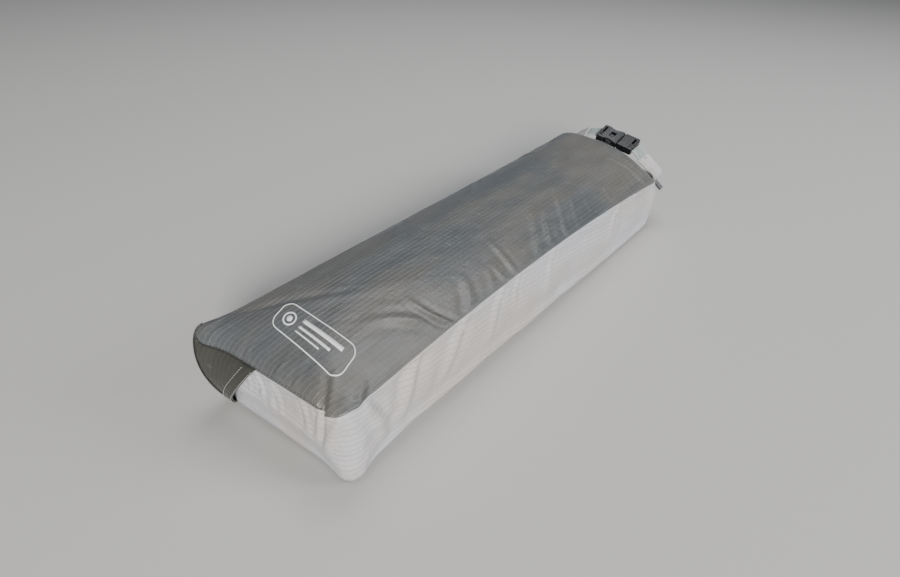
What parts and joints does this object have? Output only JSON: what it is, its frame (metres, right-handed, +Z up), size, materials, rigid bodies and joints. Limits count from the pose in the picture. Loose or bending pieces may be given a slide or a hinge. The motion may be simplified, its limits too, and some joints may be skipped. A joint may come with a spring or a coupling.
{
  "type": "roll-top stuff sack",
  "caption": "Long boxy roll-top stuff sack, packed full, with a two-colour body, an end grab band and a side-release buckle closure.",
  "frame": {"origin": "centre of the flat base face, on the surface that the packed sack lies on", "axes": "+X to the sack's right side, +Y along its length from the grab-band end to the rolled mouth, +Z up through its thickness"},
  "size_m": [0.1492, 0.5519, 0.0941],
  "materials": {
    "dark_cloth": "silicone-coated ripstop, soft sheen",
    "light_cloth": "silicone-coated ripstop, soft sheen",
    "load_cloth": "soft folded fabric",
    "webbing": "ribbed flat webbing",
    "dark_webbing": "ribbed flat webbing",
    "thread": "polyester thread",
    "stiffener": "flexible strip",
    "buckle_plastic": "moulded acetal, satin gloss"
  },
  "bodies": {
    "sack": {"top_panel": "dark_cloth", "side_gusset": "light_cloth", "bottom_panel": "dark_cloth", "packed_load": "load_cloth", "top_seam_binding": "light_cloth", "bottom_seam_binding": "light_cloth", "mouth_neck": "light_cloth"},
    "band": {"grab_band": "dark_cloth", "band_hem_right": "dark_cloth", "band_hem_left": "dark_cloth", "band_tacks": "thread"},
    "closure": {"rolled_collar": "light_cloth", "mouth_stiffener": "stiffener", "ear_left": "light_cloth", "strap_left": "webbing", "buckle_socket": "buckle_plastic"},
    "plug": {"buckle_plug": "buckle_plastic", "strap_right": "webbing", "ear_right": "light_cloth"},
    "left_prong": {"prong_left": "buckle_plastic"},
    "right_prong": {"prong_right": "buckle_plastic"},
    "tab": {"side_tab": "dark_webbing"}
  },
  "joints": [
    {"name": "closure_flop", "type": "hinge", "parent": "sack", "child": "closure", "pos_m": [0, 0.259, 0.048], "axis": [-1, 0, 0], "range_deg": [0, 45]},
    {"name": "buckle_release", "type": "slide", "parent": "closure", "child": "plug", "axis": [0.9877, 0, -0.1564], "range_m": [0, 0.024], "deforming": ["prong_left", "prong_right"]},
    {"name": "left_prong_squeeze", "type": "hinge", "parent": "plug", "child": "left_prong", "pos_m": [0.00602, 0.25931, 0.08095], "axis": [-0.1504, 0.2756, -0.9494], "range_deg": [0, 12], "stiffness_Nm_per_rad": 0.05},
    {"name": "right_prong_squeeze", "type": "hinge", "parent": "plug", "child": "right_prong", "pos_m": [0.00671, 0.27469, 0.0853], "axis": [0.1504, -0.2756, 0.9494], "range_deg": [0, 12], "stiffness_Nm_per_rad": 0.05},
    {"name": "tab_flip", "type": "hinge", "parent": "sack", "child": "tab", "pos_m": [0.0625, 0.2561, 0.0527], "axis": [0, 1, 0], "range_deg": [-60, 20]},
    {"name": "band_pull", "type": "slide", "parent": "sack", "child": "band", "axis": [0, -1, 0], "range_m": [0, 0.018]}
  ],
  "couplings": [
    {"joint": "right_prong_squeeze", "follows": "left_prong_squeeze", "ratio": 1}
  ]
}
